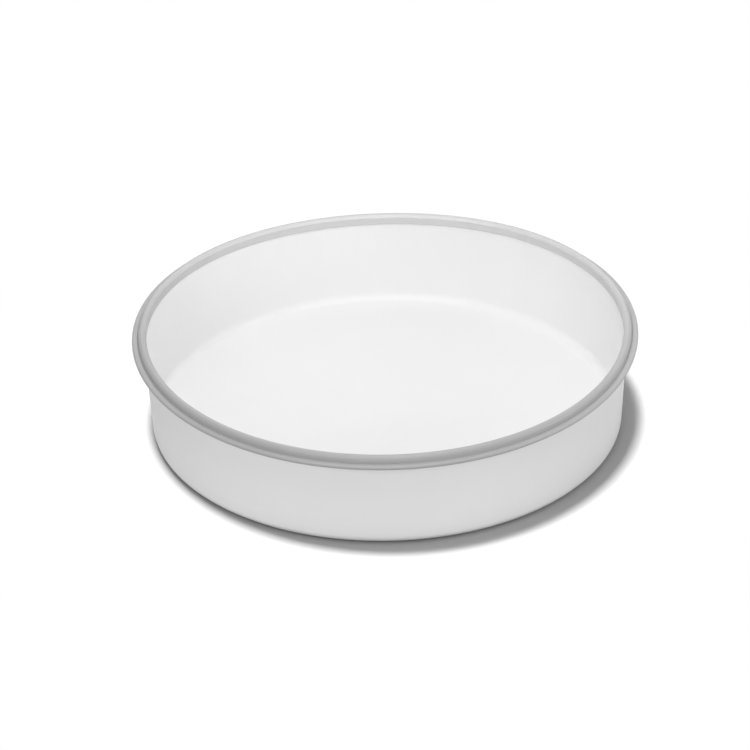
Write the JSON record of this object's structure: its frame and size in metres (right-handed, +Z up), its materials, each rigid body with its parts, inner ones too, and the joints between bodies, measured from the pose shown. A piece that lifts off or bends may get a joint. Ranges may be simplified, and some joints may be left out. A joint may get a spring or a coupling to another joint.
{
  "type": "silicone cake mould",
  "caption": "Round, shallow silicone cake mould with a flat floor, a slightly flared wall and a rolled rim collar stiffened by a steel hoop.",
  "frame": {"origin": "middle of the base, on the surface that the mould stands on", "axes": "+Z up along the axis that the mould is turned about, X and Y level"},
  "size_m": [0.26, 0.26, 0.0534],
  "materials": {
    "white_silicone": "satin",
    "grey_silicone": "satin",
    "steel_wire": "drawn wire"
  },
  "bodies": {
    "root": {"mould_body": "white_silicone", "rim_collar": "grey_silicone", "rim_wire_ring": "steel_wire"}
  },
  "joints": []
}
